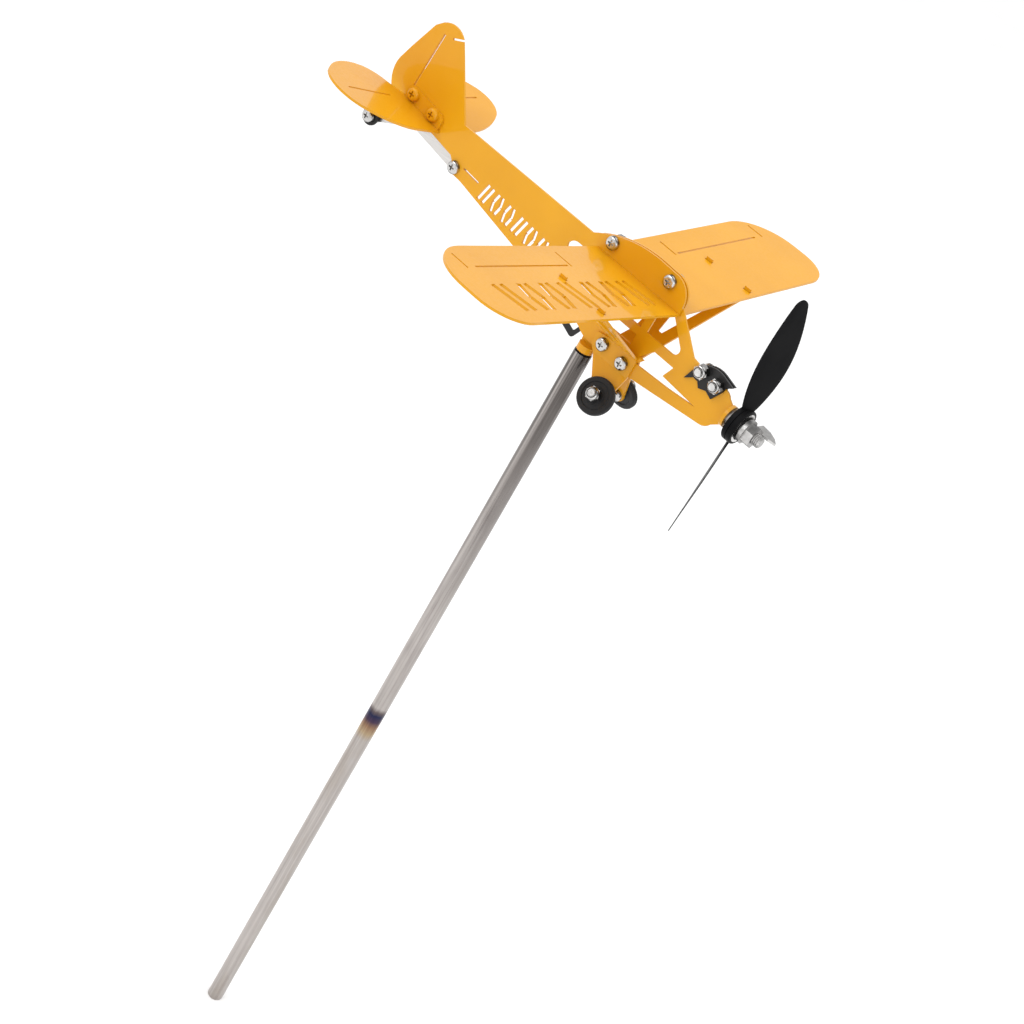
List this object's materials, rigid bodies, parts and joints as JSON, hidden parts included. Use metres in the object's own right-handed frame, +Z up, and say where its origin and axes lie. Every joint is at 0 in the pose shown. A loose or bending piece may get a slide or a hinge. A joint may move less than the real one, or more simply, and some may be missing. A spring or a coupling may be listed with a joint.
{
  "type": "wind-driven aeroplane whirligig",
  "caption": "Sheet-metal high-wing aeroplane wind spinner with a free-running propeller and wheels, swivelling on a slim steel tube stake.",
  "frame": {"origin": "centre of the stake's lower end face, on the swivel axis", "axes": "+X towards the aeroplane's nose, +Y towards its port wing, +Z up along the stake"},
  "size_m": [0.2347, 0.2356, 0.4896],
  "materials": {
    "yellow_paint": "gloss",
    "black_paint": "satin",
    "tube_steel": "satin",
    "strip_steel": "satin",
    "plated_steel": "gloss",
    "black_plastic": "satin",
    "black_rubber": "matte"
  },
  "bodies": {
    "stake": {"lower_tube": "tube_steel", "upper_tube": "tube_steel", "joint_spigot": "tube_steel", "thrust_washer": "black_plastic"},
    "aeroplane": {"swivel_pin": "yellow_paint", "fuselage_plate": "yellow_paint", "starboard_wing": "yellow_paint", "port_wing": "yellow_paint", "wing_screws": "plated_steel", "wing_nuts": "plated_steel", "starboard_gear": "yellow_paint", "port_gear": "yellow_paint", "leg_screws": "plated_steel", "leg_nuts": "plated_steel", "starboard_engine_plate": "black_paint", "port_engine_plate": "black_paint", "engine_screws": "plated_steel", "engine_nuts": "plated_steel", "starboard_tailplane": "yellow_paint", "port_tailplane": "yellow_paint", "tail_screws": "yellow_paint", "tail_nuts": "plated_steel", "tail_strip": "strip_steel", "strip_screw": "plated_steel", "strip_nut": "plated_steel", "boarding_step": "black_paint", "starboard_axle_screw": "plated_steel", "starboard_axle_nut": "plated_steel", "port_axle_screw": "plated_steel", "port_axle_nut": "plated_steel", "tail_axle_screw": "plated_steel", "tail_axle_nut": "plated_steel", "nose_disc": "yellow_paint", "prop_stud": "plated_steel", "hub_spacer": "plated_steel", "bearing_inner_ring": "plated_steel", "front_washer": "plated_steel", "lock_tab": "plated_steel", "hub_nut": "plated_steel"},
    "propeller": {"propeller": "black_plastic", "bearing_outer_ring": "plated_steel", "bearing_balls": "plated_steel", "bearing_seals": "black_plastic"},
    "starboard_wheel": {"starboard_wheel": "black_rubber"},
    "port_wheel": {"port_wheel": "black_rubber"},
    "tail_wheel": {"tail_wheel": "black_rubber"}
  },
  "joints": [
    {"name": "swivel", "type": "hinge", "parent": "stake", "child": "aeroplane", "pos_m": [0, 0, 0.412], "axis": [0, 0, 1], "continuous": true},
    {"name": "propeller_spin", "type": "hinge", "parent": "aeroplane", "child": "propeller", "pos_m": [0.0726, 0, 0.4322], "axis": [1, 0, 0], "continuous": true},
    {"name": "starboard_wheel_spin", "type": "hinge", "parent": "aeroplane", "child": "starboard_wheel", "pos_m": [0.0188, -0.00886, 0.40537], "axis": [0, -0.8988, 0.4384], "continuous": true},
    {"name": "port_wheel_spin", "type": "hinge", "parent": "aeroplane", "child": "port_wheel", "pos_m": [0.0188, 0.00986, 0.40537], "axis": [0, 0.8988, 0.4384], "continuous": true},
    {"name": "tail_wheel_spin", "type": "hinge", "parent": "aeroplane", "child": "tail_wheel", "pos_m": [-0.1428, -0.0008, 0.4304], "axis": [0, 1, 0], "continuous": true}
  ]
}
